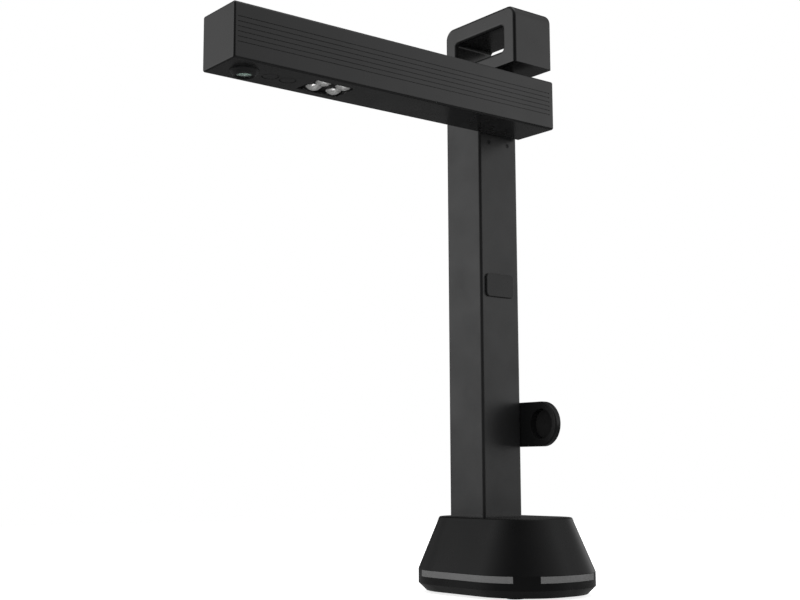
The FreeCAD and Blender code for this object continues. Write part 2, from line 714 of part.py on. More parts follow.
def column_tube():
    tube = column_form(0, (COLUMN_LOW_Z, COLUMN_TOP_Z))
    half = COLUMN_BORE_HALF
    bore = slab("XY", (COLUMN_X - half, COLUMN_X + half), (-half, half), (COLUMN_LOW_Z, COLUMN_TOP_Z),
                [COLUMN_INNER_RADIUS] * 4)
    window = block(around(COLUMN_X, CABLE_WINDOW_WIDTH), (0, COLUMN_WIDTH),
                   (CABLE_WINDOW_Z, CABLE_WINDOW_Z + CABLE_WINDOW_HEIGHT))
    seats = column_screw_seats() + bracket_screw_seats() + dock_screw_seats()
    wall_hole = shaft_hole((COLUMN_X, ARM_LEFT_X), SHAFT_RADIUS + SLIP)
    return tube.cut([bore, window, wall_hole, stop_pin_form(FIT)] + holes(seats))


# Handle

def finger_hole():
    """Limits of the opening through the handle along X and Z."""
    left = COLUMN_LEFT_X + FINGER_HOLE_LEFT_WALL
    low = COLUMN_TOP_Z + FINGER_HOLE_FLOOR
    return (left, left + FINGER_HOLE_LENGTH), (low, low + FINGER_HOLE_HEIGHT)


def within(box, x, z):
    """Whether a box lies between limits along X and Z."""
    across = x[0] - FIT < box.XMin and box.XMax < x[1] + FIT
    return across and z[0] - FIT < box.ZMin and box.ZMax < z[1] + FIT


def handle_loop():
    across = (COLUMN_LEFT_X, COLUMN_LEFT_X + HANDLE_LENGTH)
    depth = (-COLUMN_HALF, COLUMN_HALF)
    corner = HANDLE_CORNER_RADIUS
    loop = slab("XZ", across, (COLUMN_TOP_Z, HANDLE_TOP_Z), depth, [0, 0, corner, corner])
    rims = []
    for y in depth:
        rims += edges_at(loop, "y", y, lambda box: box.ZMax > COLUMN_TOP_Z + FIT)
    loop = loop.makeFillet(HANDLE_EDGE_RADIUS, rims)
    hole_x, hole_z = finger_hole()
    loop = loop.cut(slab("XZ", hole_x, hole_z, depth, [FINGER_HOLE_RADIUS] * 4))
    inside = []
    for y in depth:
        inside += edges_at(loop, "y", y, lambda box: within(box, hole_x, hole_z))
    loop = loop.makeFillet(FINGER_HOLE_EDGE_RADIUS, inside)
    half = COLUMN_BORE_HALF - SLIP / 2
    plug = slab("XY", (COLUMN_X - half, COLUMN_X + half), (-half, half),
                (COLUMN_TOP_Z - PLUG_DEPTH, COLUMN_TOP_Z), [COLUMN_INNER_RADIUS] * 4)
    return loop.fuse(plug).cut(holes(handle_screw_seats()))


# Hinge

def hinge_bracket():
    """Steel angle in the top of the column: it carries the shaft and is screwed up to the handle."""
    top = COLUMN_TOP_Z - PLUG_DEPTH
    half = COLUMN_BORE_HALF - SLIP
    corner = COLUMN_INNER_RADIUS
    upright_leg = slab("XY", (BRACKET_LEFT_X, BORE_RIGHT_X), (-half, half), (HINGE_Z - BRACKET_LOW, top),
                       [0, corner, corner, 0])
    flange = slab("XY", (COLUMN_X - half, BORE_RIGHT_X), (-half, half), (top - BRACKET_FLANGE, top),
                  [corner] * 4)
    bore = shaft_hole((BRACKET_LEFT_X - OVERCUT, BORE_RIGHT_X + OVERCUT), SHAFT_RADIUS + FIT)
    cuts = [bore, stop_pin_form(FIT)] + holes(bracket_screw_seats() + handle_screw_seats())
    return upright_leg.fuse(flange).cut(cuts)


def hinge_shaft():
    """Hollow shaft with a flange at its inner end; the cable runs through its bore."""
    start = BRACKET_LEFT_X - SHAFT_FLANGE
    shaft = shaft_hole((start, SHAFT_END_X), SHAFT_RADIUS)
    flange = shaft_hole((start, BRACKET_LEFT_X), SHAFT_FLANGE_RADIUS)
    return shaft.fuse(flange).cut(shaft_hole((start, SHAFT_END_X), SHAFT_BORE_RADIUS))


def washer(x, thickness, radius):
    ring = shaft_hole((x, x + thickness), radius)
    return ring.cut(shaft_hole((x, x + thickness), SHAFT_RADIUS + FIT))


def gap_washer():
    return washer(COLUMN_RIGHT_X, ARM_GAP, GAP_WASHER_RADIUS)


def stop_pin():
    return stop_pin_form(0)


def spring_washers():
    places = [BLOCK_RIGHT_X + index * SPRING_WASHER_THICKNESS for index in range(SPRING_WASHERS)]
    return group([washer(x, SPRING_WASHER_THICKNESS, SPRING_WASHER_RADIUS) for x in places])


def shaft_nut():
    corner = NUT_WIDTH / 2 / math.cos(math.pi / NUT_SIDES)
    angles = [2 * math.pi * index / NUT_SIDES for index in range(NUT_SIDES)]
    corners = [Vector(NUT_LEFT_X, corner * math.cos(a), HINGE_Z + corner * math.sin(a)) for a in angles]
    hexagon = Part.Face(Part.makePolygon(corners + corners[:1])).extrude(Vector(NUT_THICKNESS, 0, 0))
    return hexagon.cut(shaft_hole((NUT_LEFT_X, NUT_LEFT_X + NUT_THICKNESS), SHAFT_RADIUS + FIT))


def stop_slot(x):
    """Curved slot that the stop pin runs in, one fold angle long."""
    width = STOP_PIN_RADIUS + STOP_CLEARANCE
    outer = Part.makeCylinder(STOP_PIN_FROM_AXIS + width, x[1] - x[0], Vector(), UP, FOLD_ANGLE)
    sector = outer.cut(Part.makeCylinder(STOP_PIN_FROM_AXIS - width, x[1] - x[0]))
    ends = [Vector(STOP_PIN_FROM_AXIS * math.cos(a), STOP_PIN_FROM_AXIS * math.sin(a), 0)
            for a in (0, math.radians(FOLD_ANGLE))]
    slot = sector.fuse([Part.makeCylinder(width, x[1] - x[0], end) for end in ends])
    slot.rotate(Vector(), UP, STOP_PIN_ANGLE - FOLD_ANGLE)
    slot.Placement = Placement(Vector(x[0], 0, HINGE_Z), NEXT_AXIS).multiply(slot.Placement)
    return slot


def hinge_block():
    """Metal block inside the arm that turns on the shaft."""
    x = (ARM_LEFT_X + ARM_WALL, BLOCK_RIGHT_X)
    room = (COVER_TOP_Z + SLIP, ARM_TOP_Z - ARM_WALL - ARM_INNER_RADIUS)
    body = block(x, around(HINGE_BLOCK_Y, HINGE_BLOCK_DEPTH), room)
    bore = shaft_hole((x[0] - OVERCUT, x[1] + OVERCUT), SHAFT_RADIUS + RUNNING)
    return body.cut([bore] + holes(block_screw_seats()))


# Arm

def groove_heights():
    first = HINGE_Z + GROOVES_RISE - GROOVE_PITCH * (GROOVES - 1) / 2
    return [first + GROOVE_PITCH * index for index in range(GROOVES)]


def hook_places():
    """Limits along Y of each snap hook."""
    room = SHELL_REAR_Y - SHELL_FRONT_Y
    pitch = room / HOOKS_PER_SIDE
    return [around(SHELL_FRONT_Y + pitch * (index + 0.5), HOOK_LENGTH) for index in range(HOOKS_PER_SIDE)]


def hooks(side, grow):
    """Snap hooks on the cover's lip, or, grown, the pockets for them in the shell's wall."""
    inner = (ARM_LEFT_X + ARM_WALL) if side < 0 else (ARM_RIGHT_X - ARM_WALL)
    x = sorted((inner - side * (SLIP + HOOK_ROOT), inner + side * (HOOK_DEPTH + grow)))
    low = COVER_TOP_Z + HOOK_RISE
    z = (low - grow, low + HOOK_HEIGHT + grow)
    return [block(x, (y[0] - grow, y[1] + grow), z) for y in hook_places()]


def arm_shell():
    top = ARM_EDGE_RADIUS
    along = (SHELL_FRONT_Y, SHELL_REAR_Y)
    outer = slab("XZ", (ARM_LEFT_X, ARM_RIGHT_X), (COVER_TOP_Z, ARM_TOP_Z), along, [0, 0, top, top])
    bore_x = (ARM_LEFT_X + ARM_WALL, ARM_RIGHT_X - ARM_WALL)
    inner = slab("XZ", bore_x, (COVER_TOP_Z, ARM_TOP_Z - ARM_WALL), along,
                 [0, 0, ARM_INNER_RADIUS, ARM_INNER_RADIUS])
    grooves = [block((ARM_RIGHT_X - GROOVE_DEPTH, ARM_RIGHT_X + OVERCUT), along, around(z, GROOVE_WIDTH))
               for z in groove_heights()]
    wall = (ARM_LEFT_X - OVERCUT, ARM_LEFT_X + ARM_WALL + OVERCUT)
    cuts = grooves + [shaft_hole(wall, SHAFT_RADIUS + SLIP), stop_slot(wall)]
    cuts += hooks(-1, SLIP) + hooks(1, SLIP) + holes(block_screw_seats())
    return outer.cut(inner).cut(cuts)


def cover_lips():
    """Two upstanding lips inside the shell's walls, with their snap hooks."""
    along = (SHELL_FRONT_Y + COVER_LIP_SHORT, SHELL_REAR_Y - COVER_LIP_SHORT - HINGE_BLOCK_DEPTH)
    z = (COVER_TOP_Z, COVER_TOP_Z + COVER_LIP_HEIGHT)
    forms = []
    for side in SIDES:
        wall = (ARM_LEFT_X + ARM_WALL) if side < 0 else (ARM_RIGHT_X - ARM_WALL)
        face = wall - side * SLIP
        lip = block(sorted((face, face - side * COVER_LIP_THICKNESS)), along, z)
        kept = [hook for hook in hooks(side, 0) if hook.BoundBox.YMax < along[1]]
        forms.append(lip.fuse(kept))
    return forms


def lamp_window(grow, z):
    x = around(ARM_MIDDLE_X, LAMP_WINDOW_WIDTH + 2 * grow)
    y = (ARM_FRONT_Y + LAMP_WINDOW_FRONT - grow, ARM_FRONT_Y + LAMP_WINDOW_REAR + grow)
    return slab("XY", x, y, z, [LAMP_WINDOW_RADIUS + grow] * 4)


def lens_rod(low, high, radius):
    return rod(Vector(ARM_MIDDLE_X, LENS_Y, low), UP, high - low, radius)


def key_places():
    setbacks = {"front_lamp_key": FRONT_KEY_SETBACK, "rear_lamp_key": REAR_KEY_SETBACK}
    return {name: ARM_FRONT_Y + setback for name, setback in setbacks.items()}


def key_board_y():
    return sum(key_places().values()) / len(key_places())


def arm_bottom_cover():
    edge = ARM_EDGE_RADIUS
    plate = slab("XZ", (ARM_LEFT_X, ARM_RIGHT_X), (ARM_LOW_Z, COVER_TOP_Z), (SHELL_FRONT_Y, SHELL_REAR_Y),
                 [edge, edge, 0, 0])
    posts = standoffs(camera_screw_seats(), COVER_TOP_Z, CAMERA_BOARD_Z)
    posts += standoffs(key_screw_seats(), COVER_TOP_Z, KEY_BOARD_Z)
    through = (ARM_LOW_Z - OVERCUT, COVER_TOP_Z + OVERCUT)
    depth = through[1] - through[0]
    key_holes = [rod(Vector(ARM_MIDDLE_X, y, through[0]), UP, depth, KEY_RADIUS + KEY_HOLE_GAP)
                 for y in key_places().values()]
    cuts = key_holes + [lens_rod(*through, LENS_RING_NECK_RADIUS + FIT), lamp_window(0, through)]
    return plate.fuse(cover_lips() + posts).cut(cuts + holes(camera_screw_seats() + key_screw_seats()))


def end_cap(outer_y, seam_y, spigot_y):
    """Plate that closes one end of the arm, with a frame that slips inside the shell."""
    corner = [ARM_EDGE_RADIUS] * 4
    along = sorted((outer_y, seam_y))
    plate = slab("XZ", (ARM_LEFT_X, ARM_RIGHT_X), (ARM_LOW_Z, ARM_TOP_Z), along, corner)
    plate = plate.makeFillet(CAP_EDGE_RADIUS, edges_at(plate, "y", outer_y))
    inset = ARM_WALL + SLIP
    x = (ARM_LEFT_X + inset, ARM_RIGHT_X - inset)
    z = (COVER_TOP_Z + SLIP, ARM_TOP_Z - inset)
    frame = block(x, sorted((seam_y, spigot_y)), z)
    wall = CAP_SPIGOT_WALL
    hollow = block((x[0] + wall, x[1] - wall), sorted((seam_y, spigot_y)), (z[0] + wall, z[1] - wall))
    return plate.fuse(frame.cut(hollow))


def arm_front_cap():
    return end_cap(ARM_FRONT_Y, SHELL_FRONT_Y, SHELL_FRONT_Y + CAP_SPIGOT_DEPTH)


def arm_rear_cap():
    return end_cap(ARM_TAIL, SHELL_REAR_Y, SHELL_REAR_Y - CAP_SPIGOT_DEPTH)


# Camera

def lens_ring():
    flange = lens_rod(ARM_LOW_Z - LENS_RING_PROUD, ARM_LOW_Z, LENS_RING_RADIUS)
    flange = flange.makeFillet(LENS_RING_PROUD / 2, edges_at(flange, "z", ARM_LOW_Z - LENS_RING_PROUD))
    neck = lens_rod(ARM_LOW_Z, COVER_TOP_Z, LENS_RING_NECK_RADIUS)
    bore = lens_rod(ARM_LOW_Z - OVERCUT, COVER_TOP_Z + OVERCUT, BARREL_RADIUS + FIT)
    return flange.fuse(neck).cut(bore)


def barrel_levels():
    """Mouth, seat of the glass and top of the lens barrel."""
    mouth = ARM_LOW_Z - BARREL_PROUD
    seat = mouth + BARREL_MOUTH_DEPTH
    top = CAMERA_BOARD_Z - CAMERA_HOUSING_CLEAR
    return mouth, seat, top


def lens_cone(low, high, low_radius, high_radius):
    return Part.makeCone(low_radius, high_radius, high - low, Vector(ARM_MIDDLE_X, LENS_Y, low))


def lens_barrel():
    """Tube with a tapered nose whose skirt covers the ring's bore."""
    mouth, seat, top = barrel_levels()
    skirt_top = ARM_LOW_Z - LENS_RING_PROUD - FIT
    nose = lens_cone(mouth, skirt_top, BARREL_NOSE_RADIUS, BARREL_SKIRT_RADIUS)
    nose = nose.makeFillet(BARREL_EDGE, edges_at(nose, "z", mouth))
    bore = GLASS_RADIUS + FIT
    cuts = [lens_cone(mouth, seat, BARREL_MOUTH_RADIUS, bore), lens_rod(seat, top, bore)]
    return nose.fuse(lens_rod(skirt_top, top, BARREL_RADIUS)).cut(cuts)


def lens_glass():
    """Front element: a short disc with a shallow dome on its lower face."""
    seat = barrel_levels()[1]
    disc = lens_rod(seat, seat + GLASS_EDGE, GLASS_RADIUS)
    return disc.fuse(dome(ARM_MIDDLE_X, LENS_Y, seat, GLASS_RADIUS, GLASS_DOME))


def dome(x, y, z, radius, drop):
    """Part of a ball that hangs below a level, with the given radius there."""
    ball = (radius ** 2 + drop ** 2) / (2 * drop)
    centre = Vector(x, y, z - drop + ball)
    below = rod(Vector(x, y, z - drop - OVERCUT), UP, drop + OVERCUT, radius + OVERCUT)
    return Part.makeSphere(ball, centre).common(below)


def camera_housing():
    """Holder on the board that the barrel screws into."""
    top = barrel_levels()[2]
    low = top - BARREL_INSERT
    size = CAMERA_HOUSING_SIZE
    corners = [CAMERA_HOUSING_RADIUS] * 4
    body = slab("XY", around(ARM_MIDDLE_X, size), around(LENS_Y, size), (low, CAMERA_BOARD_Z), corners)
    return body.cut([lens_rod(low, top, BARREL_RADIUS + FIT), lens_rod(top, CAMERA_BOARD_Z, GLASS_RADIUS)])


def arm_header_limits():
    rear = LENS_Y + CAMERA_BOARD_LENGTH / 2
    top = CAMERA_BOARD_Z + ARM_BOARD_THICKNESS
    x = around(ARM_MIDDLE_X, ARM_HEADER_WIDTH)
    return x, (rear - ARM_HEADER_DEPTH, rear), (top, top + ARM_HEADER_HEIGHT)


def camera_board():
    x = around(ARM_MIDDLE_X, CAMERA_BOARD_WIDTH)
    y = around(LENS_Y, CAMERA_BOARD_LENGTH)
    board = block(x, y, (CAMERA_BOARD_Z, CAMERA_BOARD_Z + ARM_BOARD_THICKNESS))
    return board.fuse(block(*arm_header_limits())).cut(holes(camera_screw_seats()))


# Lamp keys

def lamp_key(y):
    """Round key whose flange rests on the cover and whose stem works the switch above."""
    face = Vector(ARM_MIDDLE_X, y, ARM_LOW_Z)
    cap = rod(face, UP, COVER_THICKNESS, KEY_RADIUS)
    cap = cap.makeChamfer(KEY_EDGE, edges_at(cap, "z", ARM_LOW_Z))
    flange = rod(Vector(ARM_MIDDLE_X, y, COVER_TOP_Z), UP, KEY_FLANGE, KEY_FLANGE_RADIUS)
    stem = rod(face, UP, COVER_THICKNESS + KEY_FLANGE + KEY_STEM_REACH, KEY_STEM_RADIUS)
    return cap.fuse([flange, stem])


def key_switches():
    bodies = []
    for y in key_places().values():
        size = around(ARM_MIDDLE_X, KEY_SWITCH_SIZE), around(y, KEY_SWITCH_SIZE)
        body = block(*size, (KEY_SWITCH_Z, KEY_BOARD_Z))
        stem_room = KEY_STEM_REACH - (KEY_SWITCH_Z - COVER_TOP_Z - KEY_FLANGE) + KEY_TRAVEL + SLIP
        socket = rod(Vector(ARM_MIDDLE_X, y, KEY_SWITCH_Z), UP, stem_room, KEY_STEM_RADIUS + KEY_STEM_GAP)
        bodies.append(body.cut(socket))
    return group(bodies)


def key_board():
    x = around(ARM_MIDDLE_X, KEY_BOARD_WIDTH)
    y = around(key_board_y(), KEY_BOARD_LENGTH)
    board = block(x, y, (KEY_BOARD_Z, KEY_BOARD_Z + ARM_BOARD_THICKNESS))
    return board.cut(holes(key_screw_seats()))


# Lamps

def lamp_places():
    setbacks = (FRONT_LAMPS_SETBACK, REAR_LAMPS_SETBACK)
    return [(ARM_MIDDLE_X + x * LAMP_SPREAD, ARM_FRONT_Y + setback) for x in SIDES for setback in setbacks]


def lamp_board_limits():
    return around(ARM_MIDDLE_X, LAMP_BOARD_WIDTH), (
        ARM_FRONT_Y + LAMP_WINDOW_FRONT - TRAY_BORDER, ARM_FRONT_Y + LAMP_WINDOW_REAR + TRAY_BORDER)


def lamp_tray():
    """Plate behind the window in the cover, holed for the lamps, with posts for their board."""
    tray = lamp_window(TRAY_BORDER, (COVER_TOP_Z, COVER_TOP_Z + TRAY_THICKNESS))
    posts = standoffs(lamp_screw_seats(), COVER_TOP_Z + TRAY_THICKNESS, LAMP_BOARD_Z)
    openings = [rod(Vector(x, y, COVER_TOP_Z), UP, LAMP_BOARD_RISE, LAMP_RADIUS + LAMP_HOLE_GAP)
                for x, y in lamp_places()]
    return tray.fuse(posts).cut(openings + holes(lamp_screw_seats()))


def lamp_domes():
    domes = []
    for x, y in lamp_places():
        lens = rod(Vector(x, y, COVER_TOP_Z), UP, LAMP_BOARD_RISE, LAMP_RADIUS)
        lens = lens.fuse(dome(x, y, COVER_TOP_Z, LAMP_RADIUS, LAMP_HANG))
        room = LED_SIZE + 2 * LED_ROOM
        low = LAMP_BOARD_Z - LED_HEIGHT - LED_ROOM
        chip_bay = block(around(x, room), around(y, room), (low, LAMP_BOARD_Z))
        domes.append(lens.cut(chip_bay))
    return group(domes)


def led_chips():
    z = (LAMP_BOARD_Z - LED_HEIGHT, LAMP_BOARD_Z)
    return group([block(around(x, LED_SIZE), around(y, LED_SIZE), z) for x, y in lamp_places()])


def lamp_board():
    x, y = lamp_board_limits()
    board = block(x, y, (LAMP_BOARD_Z, LAMP_BOARD_Z + ARM_BOARD_THICKNESS))
    return board.cut(holes(lamp_screw_seats()))


# Pad and lens dock

def bumper_pad():
    outer_x = COLUMN_RIGHT_X + PAD_THICKNESS
    pad = slab("YZ", around(PAD_CENTRE_Y, PAD_WIDTH), around(PAD_Z, PAD_HEIGHT), (COLUMN_RIGHT_X, outer_x),
               [PAD_CORNER_RADIUS] * 4)
    return pad.makeFillet(PAD_EDGE_RADIUS, edges_at(pad, "x", outer_x))


def lens_dock():
    """Plate behind the column that reaches out to the folded arm, with a round pocket for its lens."""
    across = (COLUMN_LEFT_X + DOCK_LEFT_INSET, COLUMN_RIGHT_X + DOCK_OVERHANG)
    inner = DOCK_INNER_END_RADIUS
    outer = DOCK_HEIGHT / 2
    plate = slab("XZ", across, around(DOCK_Z, DOCK_HEIGHT), (COLUMN_HALF, DOCK_BACK_Y),
                 [inner, outer, outer, inner])
    plate = plate.makeChamfer(DOCK_BACK_CHAMFER, edges_at(plate, "y", DOCK_BACK_Y))
    plate = plate.makeFillet(DOCK_EDGE_RADIUS, edges_at(plate, "y", COLUMN_HALF))
    pocket = rod(Vector(ARM_MIDDLE_X, COLUMN_HALF, DOCK_Z), BACKWARD, DOCK_POCKET_DEPTH, DOCK_POCKET_RADIUS)
    return plate.cut([pocket] + holes(dock_screw_seats()))


def dock_pad():
    floor = Vector(ARM_MIDDLE_X, COLUMN_HALF + DOCK_POCKET_DEPTH, DOCK_Z)
    return rod(floor, FORWARD, DOCK_PAD_THICKNESS, DOCK_POCKET_RADIUS - SLIP)


# Cables that the scanner holds all the way

def cable(name, points):
    """Round cable on straight runs joined by arcs as large as their two runs allow."""
    radii = [0.0] * len(points)
    for index in range(1, len(points) - 1):
        back = points[index - 1] - points[index]
        ahead = points[index + 1] - points[index]
        half_turn = (math.pi - back.getAngle(ahead)) / 2
        radii[index] = CABLE_BEND_SHARE * min(back.Length, ahead.Length) / math.tan(half_turn)
    path = rounded_path(points, radii, False)
    along = (points[1] - points[0]).normalize()
    section = Part.Wire(Part.makeCircle(CABLE_RADIUS, points[0], along))
    tube = path.makePipeShell([section], True, False)
    expected = math.pi * CABLE_RADIUS ** 2 * path.Length
    print(name, "length", round(path.Length, 1), "bend radii", [round(r, 1) for r in radii[1:-1]],
          "volume to section times length", round(tube.Volume / expected, 4))
    return tube


def bends(anchor, offsets):
    return [anchor + Vector(*offset) for offset in offsets]


def column_cable():
    """From the circuit board up the column and out through the hinge shaft."""
    header = Vector(HEADER_X, HEADER_Y, BOARD_TOP_Z + HEADER_HEIGHT)
    hinge = Vector(COLUMN_X, 0, HINGE_Z)
    points = [header] + bends(header, HEADER_BENDS) + bends(Vector(COLUMN_X, 0, BASE_TOP_Z), [COLUMN_BEND])
    points += bends(hinge, HINGE_BENDS) + [Vector(SHAFT_END_X, 0, HINGE_Z)]
    return cable("column_cable", points)


def arm_cable():
    """From the hinge shaft along the arm to the camera board."""
    header_y, header_z = arm_header_limits()[1:]
    start = Vector(SHAFT_END_X, 0, HINGE_Z)
    end = Vector(ARM_MIDDLE_X, header_y[1], sum(header_z) / 2)
    return cable("arm_cable", [start] + bends(start, SHAFT_BENDS) + bends(end, CAMERA_BENDS) + [end])


def build():
    """Every piece by name."""
    pieces = {
        "base_shell": base_shell(),
        "base_bottom_cover": base_bottom_cover(),
        "base_feet": base_feet(),
        "base_screws": screws(base_screw_seats()),
        "counterweight": counterweight(),
        "weight_screws": screws(weight_screw_seats()),
        "main_board": main_board(),
        "main_board_screws": screws(board_screw_seats()),
        "usb_socket": usb_socket(),
        "column_foot": column_foot(),
        "column_foot_screws": screws(foot_screw_seats()),
        "column_tube": column_tube(),
        "column_screws": screws(column_screw_seats()),
        "column_cable": column_cable(),
        "handle_loop": handle_loop(),
        "handle_screws": screws(handle_screw_seats()),
        "hinge_bracket": hinge_bracket(),
        "bracket_screws": screws(bracket_screw_seats()),
        "hinge_shaft": hinge_shaft(),
        "gap_washer": gap_washer(),
        "stop_pin": stop_pin(),
        "spring_washers": spring_washers(),
        "shaft_nut": shaft_nut(),
        "bumper_pad": bumper_pad(),
        "lens_dock": lens_dock(),
        "dock_pad": dock_pad(),
        "dock_screws": screws(dock_screw_seats()),
        "hinge_block": hinge_block(),
        "hinge_block_screws": screws(block_screw_seats()),
        "arm_shell": arm_shell(),
        "arm_bottom_cover": arm_bottom_cover(),
        "arm_front_cap": arm_front_cap(),
        "arm_rear_cap": arm_rear_cap(),
        "arm_cable": arm_cable(),
        "lens_ring": lens_ring(),
        "lens_barrel": lens_barrel(),
        "lens_glass": lens_glass(),
        "camera_housing": camera_housing(),
        "camera_board": camera_board(),
        "key_switches": key_switches(),
        "key_board": key_board(),
        "lamp_tray": lamp_tray(),
        "lamp_domes": lamp_domes(),
        "led_chips": led_chips(),
        "lamp_board": lamp_board(),
        "arm_board_screws": screws(camera_screw_seats() + key_screw_seats() + lamp_screw_seats()),
    }
    for name, (start, end) in strip_spans().items():
        pieces[name] = trim_strip(start, end, 0)
    for name, y in key_places().items():
        pieces[name] = lamp_key(y)
    return pieces


os.makedirs("parts", exist_ok=True)
for name, shape in build().items():
    shape.exportStep("parts/" + name + ".step")
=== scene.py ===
"""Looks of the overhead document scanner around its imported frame. Metres, +Z up, front -Y."""
import math

import bmesh
import bpy
from mathutils import Matrix, Vector


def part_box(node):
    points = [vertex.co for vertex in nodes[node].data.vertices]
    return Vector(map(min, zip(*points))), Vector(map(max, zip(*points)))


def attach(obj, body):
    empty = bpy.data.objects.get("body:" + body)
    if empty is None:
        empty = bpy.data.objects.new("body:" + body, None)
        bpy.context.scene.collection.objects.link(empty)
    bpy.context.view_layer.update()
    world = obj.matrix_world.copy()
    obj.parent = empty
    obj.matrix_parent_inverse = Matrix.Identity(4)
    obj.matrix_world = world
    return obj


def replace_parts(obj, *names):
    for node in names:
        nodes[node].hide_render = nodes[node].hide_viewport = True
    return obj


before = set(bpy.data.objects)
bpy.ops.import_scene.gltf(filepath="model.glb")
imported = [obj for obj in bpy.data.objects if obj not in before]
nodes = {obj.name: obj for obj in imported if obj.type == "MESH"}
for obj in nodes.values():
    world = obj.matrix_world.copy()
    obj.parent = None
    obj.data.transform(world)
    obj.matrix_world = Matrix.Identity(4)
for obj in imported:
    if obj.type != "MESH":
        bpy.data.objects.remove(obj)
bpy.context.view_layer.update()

MM = 0.001


# Camera, as fitted to the edges of the part in the photo

CAMERA_PLACE = Vector((0.634693, -0.588803, 0.080215))
CAMERA_YAW = math.radians(51.751)
CAMERA_PITCH = math.radians(7.71)
CAMERA_ROLL = math.radians(-0.229)
FOCAL_LENGTH = 57.107
SENSOR_WIDTH = 36.0


def make_camera():
    data = bpy.data.cameras.new("camera")
    data.lens = FOCAL_LENGTH
    data.sensor_width = SENSOR_WIDTH
    data.sensor_fit = "HORIZONTAL"
    camera = bpy.data.objects.new("camera", data)
    bpy.context.scene.collection.objects.link(camera)
    level = math.cos(CAMERA_PITCH)
    ahead = Vector((-math.sin(CAMERA_YAW) * level, math.cos(CAMERA_YAW) * level,
                    math.sin(CAMERA_PITCH)))
    right = Vector((math.cos(CAMERA_YAW), math.sin(CAMERA_YAW), 0))
    up = right.cross(ahead)
    turned_right = right * math.cos(CAMERA_ROLL) + up * math.sin(CAMERA_ROLL)
    turned_up = up * math.cos(CAMERA_ROLL) - right * math.sin(CAMERA_ROLL)
    turn = Matrix((turned_right, turned_up, -ahead)).transposed()
    camera.matrix_world = Matrix.Translation(CAMERA_PLACE) @ turn.to_4x4()
    bpy.context.scene.camera = camera


# Node trees

class Tree:
    """A node tree that is filled from top to bottom, one call a node."""

    def __init__(self, tree):
        self.tree = tree
        tree.nodes.clear()

    def add(self, kind, inputs=None, **settings):
        """A node with its settings, and a value or a link for each named or numbered input."""
        node = self.tree.nodes.new(kind)
        for name, value in settings.items():
            setattr(node, name, value)
        for name, value in (inputs or {}).items():
            socket = node.inputs[name]
            if isinstance(value, bpy.types.NodeSocket):
                self.tree.links.new(value, socket)
            else:
                socket.default_value = value
        return node

    def math(self, operation, *values):
        return self.add("ShaderNodeMath", dict(enumerate(values)), operation=operation).outputs[0]

    def vector(self, operation, *values, output="Vector"):
        node = self.add("ShaderNodeVectorMath", dict(enumerate(values)), operation=operation)
        return node.outputs[output]

    def ramp(self, value, stops):
        """Level by value, eased between (place, level) pairs."""
        node = self.add("ShaderNodeValToRGB", {"Fac": value})
        node.color_ramp.interpolation = "EASE"
        elements = node.color_ramp.elements
        while len(elements) < len(stops):
            elements.new(0.5)
        for element, (place, level) in zip(elements, stops):
            element.position = place
            element.color = (level, level, level, 1)
        return node.outputs["Color"]

    def remap(self, value, limits, results):
        """Takes a value between its limits to between the results."""
        inputs = {"Value": value, "From Min": limits[0], "From Max": limits[1],
                  "To Min": results[0], "To Max": results[1]}
        return self.add("ShaderNodeMapRange", inputs).outputs["Result"]

    def by_ray(self, shown, gloss, other):
        """One shader for rays that show the background, one for reflections, one for the rest."""
        path = self.add("ShaderNodeLightPath")
        background = self.math("MAXIMUM", path.outputs["Is Camera Ray"],
                               path.outputs["Is Transmission Ray"])
        lit = self.add("ShaderNodeMixShader", {0: path.outputs["Is Glossy Ray"], 1: other, 2: gloss})
        return self.add("ShaderNodeMixShader", {0: background, 1: lit.outputs[0], 2: shown}).outputs[0]

    def glow(self, level, kind="ShaderNodeBackground"):
        return self.add(kind, {"Color": (1, 1, 1, 1), "Strength": level}).outputs[0]


# Studio

# Azimuth, height and width in degrees of each soft panel, and its level
PANELS = [
    (40, 0, 13, 0.42), (60, 0, 13, 1.07), (80, 0, 13, 0.38), (100, 0, 13, 0.90), (140, 0, 13, 0.09),
    (190, 0, 13, 0.47), (230, 0, 13, 1.33),
    (46, 20, 13, 0.44), (220, 20, 13, 0.40), (236, 20, 13, 0.50), (260, 20, 13, 0.24),
    (10, 42, 17, 0.17), (40, 42, 17, 0.38), (250, 42, 17, 0.26), (45, 76, 17, 1.6),
]
PLAIN_LEVEL = 0.8
FLOOR_RADIUS = 1.25
FLOOR_CORNERS = 96
# Share of the floor's radius, and the level that a reflection meets there
FLOOR_GLOSS = [(0.0, 0.22), (0.12, 0.2), (0.35, 0.081), (1.0, 0.117)]
FLOOR_COLOUR = (0.55, 0.55, 0.55, 1)
SHOWN_FLOOR_COLOUR = (0.75, 0.75, 0.75, 1)
SHOWN_FLOOR_GLOW = 0.8
OVERHEAD_LAMP = dict(place=(-0.2, -0.3, 1.9), aim=(0, -0.05, 0.15), size=1.6, power=30)
GLINT_LAMP = dict(place=(0.09, -0.21, 0.006), aim=(0.02, -0.16, 0.31), size=0.14, power=0.055,
                  spread=50)


def pointing(azimuth, height):
    azimuth, height = math.radians(azimuth), math.radians(height)
    level = math.cos(height)
    return (math.cos(azimuth) * level, math.sin(azimuth) * level, math.sin(height))


def panel_levels(tree):
    """Level that the soft panels together give a reflection in each direction."""
    ray = tree.add("ShaderNodeTexCoord").outputs["Generated"]
    total = 0.0
    for azimuth, height, width, level in PANELS:
        sharpness = 1 / math.radians(width) ** 2
        facing = tree.vector("DOT_PRODUCT", ray, pointing(azimuth, height), output="Value")
        fall = tree.math("EXPONENT", tree.math("MULTIPLY_ADD", facing, sharpness, -sharpness))
        total = tree.math("MULTIPLY_ADD", fall, level, total)
    return total


